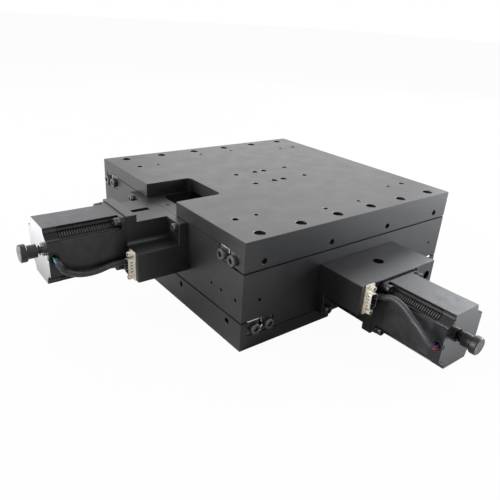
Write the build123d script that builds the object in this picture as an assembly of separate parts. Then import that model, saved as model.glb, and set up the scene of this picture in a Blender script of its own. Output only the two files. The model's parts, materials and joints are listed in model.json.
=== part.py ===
from build123d import *
import os
from math import pi, radians, sqrt, tan

# Motorized cross slide table: a base, a saddle and a top plate, joined by two crossed pairs of
# roller guides. Two stepping motors on the saddle turn the two screws.
# Frame: the origin is the centre of the base's underside, +Z is up. The upper slide moves along
# X and has its motor at -X. The lower slide is the same set of pieces, turned half a turn about
# the diagonal through the middle of the table, so it moves along Y and has its motor at -Y.

# Driving sizes, in millimetres: the three plates
table_side = 300.0
table_height = 112.0
plate_floor = 15.0
skirt_wall = 8.0
running_gap = 0.5
edge_chamfer = 0.4
hole_chamfer = 0.3
skirt_gap = 1.0
notch_side_gap = 4.0
notch_end_gap = 5.0
notch_corner = 6.0
channel_width = 55.0
channel_wall = 17.0
channel_below_axis = 17.0
channel_web = 4.0
channel_corner = 5.0

# Slide travel from the middle to either end
half_travel = 50.0

# Crossed roller guides
rail_width = 14.5
rail_height = 15.0
rail_gap = 2.0
rail_end_inset = 1.0
rail_chamfer = 0.5
roller_size = 6.0
roller_clearance = 0.1
roller_end_clearance = 0.15
roller_count = 20
roller_pitch = 10.0
cage_thickness = 1.2
cage_height = 11.0
window_clearance = 0.3
rail_bolt_count = 6
rail_bolt_end = 25.0
rail_bolt_edge = 12.5
inner_bolt_offset = 5.25
stop_head_radius = 5.5
stop_head_height = 5.5
stop_screw_radius = 3.0
stop_screw_depth = 9.0
stop_socket = 5.0
preload_count = 4
preload_end = 22.5
preload_radius = 3.0
preload_length = 4.0
preload_socket = 3.0

# Holes in the working faces of the top plate and of the base
corner_hole_x = 125.0
corner_hole_y = 100.0
corner_hole_radius = 3.4
inner_hole_x = 100.0
inner_hole_y = 100.0
side_hole_x = 25.0
side_hole_y = 120.0
small_hole_radius = 2.5
centre_hole_x = 38.1
centre_hole_y = 19.05
tapped_depth = 12.0

# Holes in the sides of the saddle
cover_hole_radius = 1.65
cover_hole_depth = 10.0
cover_hole_drop = 5.0
cover_hole_insets = (91.0, 50.0, 33.5, 10.5)
front_cover_inset = 20.0
strip_hole_radius = 1.65
strip_hole_inset = 8.0

# Ball screw, nut and bearings
screw_radius = 6.0
journal_radius = 5.0
journal_end_radius = 4.0
fit_clearance = 0.05
bearing_radius = 11.0
bearing_width = 6.0
bearing_pair = 2
shoulder_radius = 8.5
support_radius = 13.0
support_width = 8.0
lock_nut_radius = 9.0
lock_nut_width = 7.0
lock_nut_gap = 1.0
nut_centre = -3.0
nut_radius = 12.0
nut_body_length = 30.0
nut_flange_width = 10.0
nut_flange_edge = 0.5
nut_bore_clearance = 0.4
nut_bolt_wall = 2.0
nut_block_length = 24.0
nut_side_gap = 3.5
nut_below_gap = 2.0
nut_bolt_edge = 5.0

# Limit sensors in the two channels
sensor_length = 18.0
sensor_width = 8.0
sensor_height = 10.0
sensor_side = 16.0
sensor_gap = 2.0
sensor_face_radius = 2.5
sensor_face_height = 0.5

# Motor bracket, given as distances outwards from the table's side and from the motor's axis
flange_thickness = 9.0
bracket_near_edge = 6.0
bracket_far_edge = 10.0
bracket_below = 31.0
box_top_below_axis = 0.5
motor_wall = 12.0
wall_margin = 0.3
wall_rise = 1.3
web_fillet = 4.0
flange_recess = 1.5
recess_clearance = 1.2
recess_corner = 3.0
coupling_room = 2.5
lock_nut_room = 1.5
window_length = 20.0
window_width = 7.0
window_margin = 5.5
window_corner = 1.5
access_hole_radius = 5.75
access_hole_side = 3.0
bracket_bolt_y = 48.0
bracket_bolt_top_edge = 5.0
bracket_bolt_below = 16.0
ground_hole_edge = 2.3
ground_hole_below = 22.0
ground_hole_radius = 1.5
ground_hole_depth = 8.0

# Stepping motor with a shaft at both ends
motor_side = 56.4
motor_pilot_radius = 19.05
motor_pilot_depth = 1.6
motor_bolt_edge = 4.63
motor_flange = 5.0
washer_radius = 4.35
washer_thickness = 1.2
motor_front_cap = 12.0
motor_length = 76.0
motor_rear_cap = 12.5
corner_bolt_side = 2.12
corner_bolt_gap = 0.23
motor_shaft_radius = 3.175
motor_shaft_front = 23.5
rotor_radius = 15.0
rotor_gap = 0.5
rotor_end_gap = 2.0
motor_bearing_radius = 8.0
motor_bearing_width = 5.0
shaft_hole_clearance = 0.6
rear_hole_radius = 5.0
knob_gap = 2.8
knob_hub_radius = 6.5
knob_hub_length = 9.0
knob_radius = 8.6
knob_length = 6.4
knob_chamfer = 0.8
knob_socket_depth = 4.0

# Shaft coupling
coupling_radius = 12.5
hub_length = 11.0
hub_gap = 2.0
spider_width = 6.0
shaft_inset = 1.0
jaw_clearance = 0.3
jaw_angle = 37.0
jaw_angle_clearance = 1.6

# Nine-pin connector, its screws and the motor's lead
connector_edge = 11.0
connector_flange_length = 30.8
connector_flange_width = 12.5
connector_flange_thickness = 0.8
connector_shell_length = 16.9
connector_shell_width = 8.4
connector_shell_height = 6.0
connector_shell_wall = 0.4
connector_taper = 1.4
connector_corner = 1.8
connector_body_length = 19.0
connector_body_width = 10.4
connector_body_depth = 6.0
connector_insert_recess = 5.0
contact_radius = 0.5
contact_pitch = 2.77
contact_row = 2.84
contact_inset = 0.6
contact_tail = 1.0
jackscrew_spacing = 25.0
jackscrew_flat = 4.8
jackscrew_height = 5.0
jackscrew_shank = 1.45
jackscrew_shank_length = 6.0
jackscrew_hole = 1.2
jackscrew_hole_depth = 4.0
pocket_end_room = 0.5
pocket_side_room = 0.8
pocket_near = 2.0
lead_radius = 3.0
lead_side_gap = 1.3
lead_port_clearance = 0.25
lead_bend_share = 0.45
lead_exit_inset = 5.1
lead_exit_above = 1.8
lead_exit_depth = 3.4
grommet_depth = 2.4
grommet_wall = 2.5
grommet_lip = 1.0
grommet_stand_out = 0.8
grommet_dish = 2.0

# Routes of the two motor leads from the motor's side to the connector box: distance outwards
# from the table's side, distance from the motor's side, and height over the motor's axis
upper_lead_route = (
    (123.4, -3.2, 1.8),
    (123.4, 4.8, 1.8),
    (121.7, 8.9, -2.5),
    (118.0, 8.0, -10.0),
    (104.0, 6.2, -17.4),
    (87.0, 5.1, -18.8),
    (71.0, 4.5, -15.3),
    (57.5, 4.3, -15.75),
    (44.0, 4.3, -15.75),
)
lower_lead_route = (
    (123.4, -3.2, 1.8),
    (123.4, 4.8, 1.8),
    (120.4, 8.8, -2.0),
    (113.0, 8.0, -7.4),
    (99.5, 6.2, -13.4),
    (87.0, 5.2, -20.6),
    (73.0, 4.5, -23.2),
    (59.5, 4.3, -15.75),
    (44.0, 4.3, -15.75),
)

# Bolt sizes: shank radius, head radius, head height, socket width
m4_bolt = (2.0, 3.5, 4.0, 3.0)
m5_bolt = (2.5, 4.25, 5.0, 4.0)
m6_bolt = (3.0, 5.0, 6.0, 5.0)
counterbore_clearance = 0.5
counterbore_sink = 2.8
plate_bolt_grip = 9.0
inner_bolt_grip = 10.0
bracket_bolt_grip = 12.0
nut_plate_grip = 10.0
nut_flange_grip = 8.0

# Places worked out from the driving sizes
half = table_side / 2
middle_z = table_height / 2
axis_z = middle_z + channel_below_axis + channel_web / 2
plate_face = table_height - plate_floor
seat_z = plate_face - rail_height
shoulder_z = seat_z - skirt_gap
rail_z = seat_z + rail_height / 2
outer_rail_back = half - skirt_wall
outer_rail_face = outer_rail_back - rail_width
gap_middle = outer_rail_face - rail_gap / 2
inner_rail_face = outer_rail_face - rail_gap
core_half = inner_rail_face - rail_width
inner_bolt_y = core_half + inner_bolt_offset
channel_half = channel_width / 2
channel_end = half - channel_wall
channel_floor = axis_z - channel_below_axis
rail_end = half - rail_end_inset
rail_bolt_pitch = 2 * (half - rail_bolt_end) / (rail_bolt_count - 1)
preload_pitch = 2 * (half - preload_end) / (preload_count - 1)
groove_half = roller_size / sqrt(2)
hub_start = flange_thickness + hub_gap
second_hub_start = hub_start + hub_length + spider_width
motor_face = second_hub_start + shaft_inset + motor_shaft_front
bracket_depth = motor_face + flange_recess
coupling_bore = coupling_radius + coupling_room
motor_half = motor_side / 2
motor_bolt_spacing = motor_side - 2 * motor_bolt_edge
wall_half = motor_half + wall_margin
notch_width = 2 * (wall_half + notch_side_gap)
notch_depth = half_travel + notch_end_gap
bracket_near = bracket_bolt_y + bracket_near_edge
bracket_far = bracket_bolt_y + bracket_far_edge
connector_y = connector_edge - bracket_near
lead_port_y = -motor_half - lead_side_gap - lead_radius
motor_rear = motor_face + motor_length
lead_exit_out = motor_rear - lead_exit_inset
knob_start = motor_rear + knob_gap
knob_end = knob_start + knob_hub_length + knob_length
box_bottom = axis_z - bracket_below
box_top = axis_z - box_top_below_axis
connector_z = (box_bottom + box_top) / 2
nut_below = channel_below_axis - nut_below_gap
nut_block_width = channel_width - 2 * nut_side_gap
nut_bolt_reach = nut_radius + nut_bolt_wall + m4_bolt[0]
nut_flange_radius = nut_bolt_reach + m4_bolt[1] + nut_flange_edge
nut_block_low = nut_centre - nut_block_length / 2
nut_block_high = nut_centre + nut_block_length / 2
over = 1.0


# Solids from spans


def block(x, y, z):
    """A box between a (low, high) span on each axis."""
    spans = (x, y, z)
    middle = [(low + high) / 2 for low, high in spans]
    return Pos(*middle) * Box(*[high - low for low, high in spans])


def x_rod(x, y, z, radius):
    """A cylinder along X over the span x."""
    return Pos((x[0] + x[1]) / 2, y, z) * Rot(0, 90, 0) * Cylinder(radius, x[1] - x[0])


def y_rod(x, y, z, radius):
    """A cylinder along Y over the span y."""
    return Pos(x, (y[0] + y[1]) / 2, z) * Rot(90, 0, 0) * Cylinder(radius, y[1] - y[0])


def z_rod(x, y, z, radius):
    """A cylinder along Z over the span z."""
    return Pos(x, y, (z[0] + z[1]) / 2) * Cylinder(radius, z[1] - z[0])


def out(near, far):
    """The X span between two distances outwards from the table's -X side."""
    return (-half - far, -half - near)


def flip(shape):
    """The place of an upper slide's piece in the lower slide."""
    return shape.rotate(Axis((0, 0, middle_z), (1, 1, 0)), 180)


def x_prism(profile, x):
    """A face drawn in Y and Z, as a solid over the span x."""
    return Pos(x[0], 0, 0) * extrude(profile, amount=x[1] - x[0], dir=(1, 0, 0))


def yz_polygon(points):
    """A face in the plane X = 0 with these (y, z) corners."""
    return make_face(Polyline([(0, y, z) for y, z in points], close=True))


def cap_bolt(size, grip):
    """A socket head cap bolt: head up along +Z from the origin, shank down by grip."""
    shank_radius, head_radius, head_height, socket = size
    bolt = z_rod(0, 0, (-grip, 0), shank_radius) + z_rod(0, 0, (0, head_height), head_radius)
    hexagon = extrude(RegularPolygon(socket / 2, 6, major_radius=False), head_height)
    return bolt - Pos(0, 0, head_height / 2) * hexagon


def along_y(shape):
    """A shape that pointed along +Z now points along +Y."""
    return Rot(-90, 0, 0) * shape


def along_minus_x(shape):
    """A shape that pointed along +Z now points along -X."""
    return Rot(0, -90, 0) * shape


def along_x(shape):
    """A shape that pointed along +Z now points along +X."""
    return Rot(0, 90, 0) * shape


def row(count, pitch):
    """Evenly spaced places about zero."""
    return [(index - (count - 1) / 2) * pitch for index in range(count)]


# The plates


def plate_bolt_places():
    """Centres of the bolts that hold the outer rails to the plate."""
    edge = half - rail_bolt_edge
    return [(x, y) for y in (-edge, edge) for x in row(rail_bolt_count, rail_bolt_pitch)]


def nut_bolt_places():
    """Centres of the bolts that hold the nut's block to the plate."""
    reach_x = nut_block_length / 2 - nut_bolt_edge
    reach_y = nut_block_width / 2 - nut_bolt_edge
    return [(nut_centre + x, y) for x, y in four(reach_x, reach_y)]


def four(x, y):
    """The corners of a rectangle about the centre."""
    return [(sx * x, sy * y) for sx in (-1, 1) for sy in (-1, 1)]


def slide_plate():
    """The top plate: a skirt down each long side, a motor notch and the hole patterns."""
    low = seat_z - over
    high = table_height + over
    plate = block((-half, half), (-half, half), (seat_z, table_height))
    plate = chamfer(plate.edges(), edge_chamfer)
    long = (-half - over, half + over)
    plate -= block(long, (-outer_rail_back, outer_rail_back), (low, plate_face))
    plate -= block(long, (-outer_rail_face, outer_rail_face), (plate_face, plate_face + running_gap))
    notch = block((-half - over, -half + notch_depth), (-notch_width / 2, notch_width / 2), (low, high))
    notch = fillet(notch.edges().filter_by(Axis.Z).group_by(Axis.X)[-1], notch_corner)
    plate -= notch

    shank, head, head_height, _ = m6_bolt
    sink = table_height - head_height - counterbore_sink
    for x, y in plate_bolt_places():
        plate -= z_rod(x, y, (low, high), shank)
        plate -= z_rod(x, y, (sink, high), head + counterbore_clearance)
    shank, head, head_height, _ = m4_bolt
    sink = table_height - head_height - counterbore_sink
    for x, y in nut_bolt_places():
        plate -= z_rod(x, y, (low, high), shank)
        plate -= z_rod(x, y, (sink, high), head + counterbore_clearance)
    tapped = (table_height - tapped_depth, high)
    for x, y in four(corner_hole_x, corner_hole_y) + four(centre_hole_x, centre_hole_y):
        plate -= z_rod(x, y, tapped, corner_hole_radius)
    for x, y in four(inner_hole_x, inner_hole_y) + four(side_hole_x, side_hole_y):
        plate -= z_rod(x, y, tapped, small_hole_radius)
    for x in row(preload_count, preload_pitch):
        plate -= y_rod(x, (-half - over, -outer_rail_back), rail_z, preload_radius)
    faces = [plate.faces().sort_by(Axis.Z)[-1], plate.faces().sort_by(Axis.Y)[0]]
    rims = [edge for face in faces for wire in face.inner_wires() for edge in wire.edges()]
    return chamfer(rims, hole_chamfer)


def saddle_half():
    """What the saddle has on its upper side, down to the middle of the table."""
    side = (-half, half)
    raised = block(side, (-core_half, core_half), (middle_z, plate_face))
    raised = chamfer(raised.edges().group_by(Axis.Z)[-1], edge_chamfer)
    seat = block(side, (-inner_rail_face, inner_rail_face), (middle_z, seat_z))
    return raised + seat


def saddle_cuts():
    """What is cut from the saddle for the upper slide: channel, bearing seats and tapped holes."""
    channel = block(
        (-channel_end, channel_end),
        (-channel_half, channel_half),
        (channel_floor, plate_face + over),
    )
    channel = fillet(channel.edges().filter_by(Axis.Z), channel_corner)
    bearing_depth = bearing_pair * bearing_width
    cuts = [
        channel,
        x_rod((-half - over, -half + bearing_depth), 0, axis_z, bearing_radius),
        x_rod((-half, -channel_end + over), 0, axis_z, shoulder_radius),
        x_rod((channel_end - over, channel_end + support_width), 0, axis_z, support_radius),
        z_rod(-half + strip_hole_inset, 0, (plate_face - strip_hole_inset, plate_face + over), strip_hole_radius),
    ]
    for sy in (-1, 1):
        for x in row(rail_bolt_count, rail_bolt_pitch):
            deep = seat_z - inner_bolt_grip
            cuts.append(z_rod(x, sy * inner_bolt_y, (deep, seat_z + over), m5_bolt[0]))
    for y, z in bracket_bolt_places():
        cuts.append(x_rod((-half - over, -half + bracket_bolt_grip), y, z, m5_bolt[0]))
    return cuts


def saddle():
    """The middle plate, which carries both motors and the inner rails of both slides."""
    rim = block((-half, half), (-half, half), (table_height - shoulder_z, shoulder_z))
    rim = chamfer(rim.edges(), edge_chamfer)
    upper = saddle_half()
    body = rim + upper + flip(upper)
    for cut in saddle_cuts():
        body -= cut
        body -= flip(cut)
    height = middle_z - cover_hole_drop
    for inset in cover_hole_insets:
        for side in (-1, 1):
            for end in (-1, 1):
                hole = sorted((end * (half - cover_hole_depth), end * (half + over)))
                body -= x_rod(hole, side * (half - inset), height, cover_hole_radius)
    for x in (front_cover_inset - half, half - front_cover_inset):
        body -= y_rod(x, (-half - over, -half + cover_hole_depth), height, cover_hole_radius)
    return body


# Crossed roller guides


def rail_bar(profile):
    """A rail's profile as a bar of the rail's length, with a small chamfer about both ends."""
    bar = x_prism(profile, (-rail_end, rail_end))
    ends = bar.edges().group_by(Axis.X)
    return chamfer(ends[0] + ends[-1], rail_chamfer)


def outer_rail(side):
    """The rail bolted to the plate, on the side given by the sign."""
    profile = yz_polygon([
        (side * outer_rail_back, seat_z),
        (side * outer_rail_face, seat_z),
        (side * outer_rail_face, rail_z - groove_half + rail_gap / 2),
        (side * (gap_middle + groove_half), rail_z),
        (side * outer_rail_face, rail_z + groove_half - rail_gap / 2),
        (side * outer_rail_face, plate_face),
        (side * outer_rail_back, plate_face),
    ])
    rail = rail_bar(profile)
    top = plate_face - plate_bolt_grip
    for x in row(rail_bolt_count, rail_bolt_pitch):
        rail -= z_rod(x, side * (half - rail_bolt_edge), (top, plate_face + over), m6_bolt[0])
    return rail - rail_end_holes(side * rail_middle(True))


def inner_rail(side):
    """The rail bolted down to the saddle, on the side given by the sign."""
    profile = yz_polygon([
        (side * core_half, seat_z),
        (side * inner_rail_face, seat_z),
        (side * inner_rail_face, rail_z - groove_half + rail_gap / 2),
        (side * (gap_middle - groove_half), rail_z),
        (side * inner_rail_face, rail_z + groove_half - rail_gap / 2),
        (side * inner_rail_face, plate_face),
        (side * core_half, plate_face),
    ])
    rail = rail_bar(profile)
    shank, head, head_height, _ = m5_bolt
    sink = plate_face - head_height - running_gap
    for x in row(rail_bolt_count, rail_bolt_pitch):
        rail -= z_rod(x, side * inner_bolt_y, (seat_z - over, plate_face + over), shank)
        rail -= z_rod(x, side * inner_bolt_y, (sink, plate_face + over), head + counterbore_clearance)
    return rail - rail_end_holes(side * rail_middle(False))


def rail_middle(outer):
    """Distance from the table's centre line to the middle of a rail's end face."""
    return outer_rail_back - rail_width / 2 if outer else core_half + rail_width / 2


def rail_end_holes(y):
    """The two holes for the stop screws in a rail's ends."""
    left = x_rod((-rail_end - over, -rail_end + stop_screw_depth), y, rail_z, stop_screw_radius)
    right = x_rod((rail_end - stop_screw_depth, rail_end + over), y, rail_z, stop_screw_radius)
    return left + right


def stop_screws(outer):
    """The screws in the ends of both outer or both inner rails, which stop the roller cages."""
    size = (stop_screw_radius, stop_head_radius, stop_head_height, stop_socket)
    screw = cap_bolt(size, stop_screw_depth)
    screws = []
    for side in (-1, 1):
        y = side * rail_middle(outer)
        screws.append(Pos(-rail_end, y, rail_z) * along_minus_x(screw))
        screws.append(Pos(rail_end, y, rail_z) * along_x(screw))
    return screws


def outer_rail_bolts():
    """Bolts down through the plate into the outer rails."""
    grip = plate_floor - m6_bolt[2] - counterbore_sink + plate_bolt_grip
    bolt = cap_bolt(m6_bolt, grip)
    seat = table_height - m6_bolt[2] - counterbore_sink
    return [Pos(x, y, seat) * bolt for x, y in plate_bolt_places()]


def inner_rail_bolts():
    """Bolts down through the inner rails into the saddle."""
    head_height = m5_bolt[2]
    seat = plate_face - head_height - running_gap
    bolt = cap_bolt(m5_bolt, seat - seat_z + inner_bolt_grip)
    places = row(rail_bolt_count, rail_bolt_pitch)
    return [Pos(x, sy * inner_bolt_y, seat) * bolt for sy in (-1, 1) for x in places]


def preload_screws():
    """Set screws in the near skirt, which press the outer rail against its rollers."""
    screw = z_rod(0, 0, (0, preload_length), preload_radius)
    hexagon = extrude(RegularPolygon(preload_socket / 2, 6, major_radius=False), preload_length / 2)
    screw -= hexagon
    start = -outer_rail_back - preload_length
    return [Pos(x, start, rail_z) * along_y(screw) for x in row(preload_count, preload_pitch)]


def rollers():
    """The rollers of both sides, each turned a quarter turn from the next."""
    radius = roller_size / 2 - roller_clearance
    length = roller_size - 2 * roller_end_clearance
    result = []
    for side in (-1, 1):
        for index, x in enumerate(row(roller_count, roller_pitch)):
            tilt = 45 if index % 2 else -45
            result.append(Pos(x, side * gap_middle, rail_z) * Rot(tilt, 0, 0) * Cylinder(radius, length))
    return result


def roller_cages():
    """The two strips with a window for each roller."""
    reach = (roller_count * roller_pitch) / 2
    window_x = roller_size / 2 + window_clearance
    window_z = roller_size / sqrt(2) + window_clearance
    cages = []
    for side in (-1, 1):
        middle = side * gap_middle
        thick = (middle - cage_thickness / 2, middle + cage_thickness / 2)
        tall = (rail_z - cage_height / 2, rail_z + cage_height / 2)
        cage = block((-reach, reach), thick, tall)
        through = (middle - cage_thickness, middle + cage_thickness)
        for x in row(roller_count, roller_pitch):
            cage -= block((x - window_x, x + window_x), through, (rail_z - window_z, rail_z + window_z))
        cages.append(cage)
    return cages


# Screw, nut and bearings


def ball_screw():
    """The screw from the support bearing to the coupling's first hub."""
    bearing_face = -half + bearing_pair * bearing_width
    hub_end = -half - hub_start - hub_length
    nut_end = -half - flange_thickness
    screw = x_rod((bearing_face, channel_end), 0, axis_z, screw_radius)
    screw += x_rod((channel_end, channel_end + support_width), 0, axis_z, journal_radius)
    screw += x_rod((nut_end, bearing_face), 0, axis_z, journal_radius)
    return screw + x_rod((hub_end, nut_end), 0, axis_z, journal_end_radius)


def lock_nut():
    """The nut that draws the screw's shoulder against its bearings."""
    end = lock_nut_gap + lock_nut_width
    nut = x_rod(out(lock_nut_gap, end), 0, axis_z, lock_nut_radius)
    return nut - x_rod(out(lock_nut_gap - over, end + over), 0, axis_z, journal_radius)


def bearing(x, bore, radius):
    """One bearing as a single ring, with running clearance to what turns in it."""
    ring = x_rod(x, 0, axis_z, radius)
    return ring - x_rod((x[0] - over, x[1] + over), 0, axis_z, bore + fit_clearance)


def bearings():
    """The screw's bearing pair and support bearing, and the motor's two bearings."""
    rings = []
    for index in range(bearing_pair):
        start = -half + index * bearing_width
        rings.append(bearing((start, start + bearing_width), journal_radius, bearing_radius))
    support = (channel_end, channel_end + support_width)
    rings.append(bearing(support, journal_radius, support_radius))
    front = motor_face + motor_front_cap
    rear = motor_rear - motor_rear_cap
    rings.append(bearing(out(front - motor_bearing_width, front), motor_shaft_radius, motor_bearing_radius))
    rings.append(bearing(out(rear, rear + motor_bearing_width), motor_shaft_radius, motor_bearing_radius))
    return rings


def nut_flange_places():
    """Centres of the nut's flange bolts, as (y, z)."""
    reach = nut_bolt_reach / sqrt(2)
    return [(sy * reach, axis_z + sz * reach) for sy in (-1, 1) for sz in (-1, 1)]


def ball_nut():
    """The nut: a round body with a flatted flange at its +X end."""
    flange = (nut_block_high, nut_block_high + nut_flange_width)
    nut = x_rod((nut_block_high - nut_body_length, nut_block_high), 0, axis_z, nut_radius)
    disc = x_rod(flange, 0, axis_z, nut_flange_radius)
    side = (-nut_flange_radius - over, nut_flange_radius + over)
    nut += disc & block(flange, side, (axis_z - nut_below, axis_z + nut_below))
    length = (nut_block_high - nut_body_length - over, flange[1] + over)
    nut -= x_rod(length, 0, axis_z, screw_radius + nut_bore_clearance)
    for y, z in nut_flange_places():
        nut -= x_rod((flange[0] - over, flange[1] + over), y, z, m4_bolt[0])
    return nut


def nut_block():
    """The block that carries the nut's force up into the plate."""
    top = plate_face + running_gap
    wide = (-nut_block_width / 2, nut_block_width / 2)
    carrier = block((nut_block_low, nut_block_high), wide, (axis_z - nut_below, top))
    carrier = chamfer(carrier.edges().filter_by(Axis.Z), 2 * edge_chamfer)
    carrier -= x_rod((nut_block_low - over, nut_block_high + over), 0, axis_z, nut_radius)
    for x, y in nut_bolt_places():
        carrier -= z_rod(x, y, (top - nut_plate_grip, top + over), m4_bolt[0])
    for y, z in nut_flange_places():
        carrier -= x_rod((nut_block_high - nut_flange_grip, nut_block_high + over), y, z, m4_bolt[0])
    return carrier


def nut_bolts():
    """Four bolts from the plate into the nut's block, and four through the nut's flange."""
    seat = table_height - m4_bolt[2] - counterbore_sink
    down = cap_bolt(m4_bolt, seat - plate_face - running_gap + nut_plate_grip)
    bolts = [Pos(x, y, seat) * down for x, y in nut_bolt_places()]
    level = along_x(cap_bolt(m4_bolt, nut_flange_width + nut_flange_grip))
    face = nut_block_high + nut_flange_width
    return bolts + [Pos(face, y, z) * level for y, z in nut_flange_places()]


def limit_sensors():
    """Two sensors in the channel, which the nut's block meets at either end of the travel."""
    low_face = nut_block_low - half_travel - sensor_gap
    high_face = nut_block_high + nut_flange_width + m4_bolt[2] + half_travel + sensor_gap
    wide = (sensor_side - sensor_width / 2, sensor_side + sensor_width / 2)
    tall = (channel_floor, channel_floor + sensor_height)
    eye = channel_floor + sensor_height / 2
    sensors = []
    for face, way in ((low_face, -1), (high_face, 1)):
        body = sorted((face + way * sensor_face_height, face + way * sensor_length))
        lens = sorted((face, face + way * (sensor_face_height + over)))
        sensors.append(block(body, wide, tall) + x_rod(lens, sensor_side, eye, sensor_face_radius))
    return sensors


# Motor bracket


def bracket_bolt_places():
    """Centres of the four bolts from the bracket into the saddle, as (y, z)."""
    upper = plate_face - bracket_bolt_top_edge
    lower = axis_z - bracket_bolt_below
    return [
        (-bracket_bolt_y, upper),
        (bracket_bolt_y, upper),
        (connector_y, lower),
        (bracket_bolt_y, lower),
    ]


def motor_bolt_places():
    """Centres of the four bolts through the motor's flange, as (y, z)."""
    reach = motor_bolt_spacing / 2
    return [(sy * reach, axis_z + sz * reach) for sy in (-1, 1) for sz in (-1, 1)]


def connector_pocket():
    """The space behind the connector, with the hole by which the lead comes in."""
    inner = flange_thickness
    reach_y = connector_body_width / 2 + pocket_side_room
    reach_z = connector_body_length / 2 + pocket_end_room
    mouth = (connector_y - reach_y, connector_y + reach_y)
    tall = (connector_z - reach_z, connector_z + reach_z)
    pocket = block(out(inner, bracket_depth + over), mouth, tall)
    deep = bracket_depth - connector_body_depth - pocket_near
    pocket += block(out(inner, deep), (mouth[0], lead_port_y + lead_radius), tall)
    port = out(inner, bracket_depth + over)
    return pocket + x_rod(port, lead_port_y, connector_z, lead_radius + lead_port_clearance)


def motor_bracket():
    """One milled block: table flange, connector box, coupling housing and motor wall."""
    full = (-bracket_near, bracket_far)
    flange = block(out(0, flange_thickness), full, (box_bottom, plate_face))
    box = block(out(0, bracket_depth), full, (box_bottom, box_top))
    web_end = bracket_depth - motor_wall
    narrow = (-wall_half, wall_half)
    web = block(out(0, web_end), narrow, (axis_z, plate_face))
    wall = block(out(web_end, bracket_depth), narrow, (axis_z, axis_z + motor_half + wall_rise))
    body = chamfer(flange.edges(), edge_chamfer) + chamfer(box.edges(), edge_chamfer) + web
    body += chamfer(wall.edges().group_by(Axis.Z)[-1], edge_chamfer)
    for side in (-1, 1):
        edge = side * wall_half
        centre = side * (wall_half + web_fillet)
        strip_y = (min(edge, centre), max(edge, centre))
        length = out(flange_thickness - over, bracket_depth - edge_chamfer)
        strip = block(length, strip_y, (box_top - over, box_top + web_fillet))
        body += strip - x_rod(length, centre, box_top + web_fillet, web_fillet)

    body -= x_rod(out(-over, flange_thickness + over), 0, axis_z, lock_nut_radius + lock_nut_room)
    body -= x_rod(out(flange_thickness, bracket_depth + over), 0, axis_z, coupling_bore)
    pilot = out(motor_face - motor_pilot_depth - running_gap, bracket_depth + over)
    body -= x_rod(pilot, 0, axis_z, motor_pilot_radius)
    reach = motor_half + recess_clearance
    recess = block(out(motor_face, bracket_depth + over), (-reach, reach), (axis_z - reach, axis_z + reach + over))
    body -= fillet(recess.edges().filter_by(Axis.X), recess_corner)
    start = flange_thickness + window_margin
    wide = (-window_width / 2, window_width / 2)
    window = block(out(start, start + window_length), wide, (axis_z, plate_face + over))
    body -= fillet(window.edges().filter_by(Axis.Z), window_corner)
    spider_middle = -half - hub_start - hub_length - spider_width / 2
    body -= z_rod(spider_middle, access_hole_side, (box_bottom - over, axis_z), access_hole_radius)
    body -= connector_pocket()
    for y, z in bracket_bolt_places():
        body -= x_rod(out(-over, flange_thickness + over), y, z, m5_bolt[0])
    tunnel = out(flange_thickness, bracket_depth + over)
    tunnel_radius = m5_bolt[1] + counterbore_clearance
    body -= x_rod(tunnel, bracket_bolt_y, axis_z - bracket_bolt_below, tunnel_radius)
    for y, z in motor_bolt_places():
        body -= x_rod(out(web_end, bracket_depth + over), y, z, m5_bolt[0])
    for z in jackscrew_places():
        deep = out(bracket_depth - jackscrew_shank_length, bracket_depth + over)
        body -= x_rod(deep, connector_y, z, jackscrew_shank)
    ground = out(bracket_depth - ground_hole_depth, bracket_depth + over)
    body -= x_rod(ground, reach + ground_hole_edge, axis_z - ground_hole_below, ground_hole_radius)
    return body


def bracket_bolts():
    """Bolts from the bracket's flange into the saddle."""
    bolt = along_minus_x(cap_bolt(m5_bolt, flange_thickness + bracket_bolt_grip))
    face = -half - flange_thickness
    return [Pos(face, y, z) * bolt for y, z in bracket_bolt_places()]


# Motor


def motor_section():
    """The motor's outline: a square whose corners are cut back for the heads of the flange bolts."""
    edge = motor_half
    bolt = motor_bolt_spacing / 2
    head = m5_bolt[1]
    cut = bolt - head - corner_bolt_side
    step = 2 * bolt - sqrt(2) * (head + corner_bolt_gap) - cut
    quarter = [(cut, edge), (cut, step), (step, cut), (edge, cut)]
    points = list(quarter)
    points += [(y, -z) for y, z in reversed(quarter)]
    points += [(-y, -z) for y, z in quarter]
    points += [(-y, z) for y, z in reversed(quarter)]
    return yz_polygon([(y, axis_z + z) for y, z in points])


def front_cap():
    """The motor's front cap with its square flange and round pilot."""
    flange_end = motor_face + motor_flange
    end = motor_face + motor_front_cap
    square = (-motor_half, motor_half)
    flange = block(out(motor_face, flange_end), square, (axis_z - motor_half, axis_z + motor_half))
    corner = motor_half - motor_bolt_spacing / 2
    flange = fillet(flange.edges().filter_by(Axis.X), corner)
    cap = flange + x_prism(motor_section(), out(flange_end - over, end))
    cap += x_rod(out(motor_face - motor_pilot_depth, motor_face), 0, axis_z, motor_pilot_radius)
    hole = out(motor_face - motor_pilot_depth - over, end + over)
    cap -= x_rod(hole, 0, axis_z, motor_shaft_radius + shaft_hole_clearance)
    cap -= x_rod(out(end - motor_bearing_width, end + over), 0, axis_z, motor_bearing_radius)
    for y, z in motor_bolt_places():
        cap -= x_rod(out(motor_face - over, flange_end + over), y, z, m5_bolt[0])
    return cap


def stator():
    """The stack of laminations between the motor's caps."""
    span = out(motor_face + motor_front_cap, motor_rear - motor_rear_cap)
    bore = (span[0] - over, span[1] + over)
    return x_prism(motor_section(), span) - x_rod(bore, 0, axis_z, rotor_radius + rotor_gap)


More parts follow.
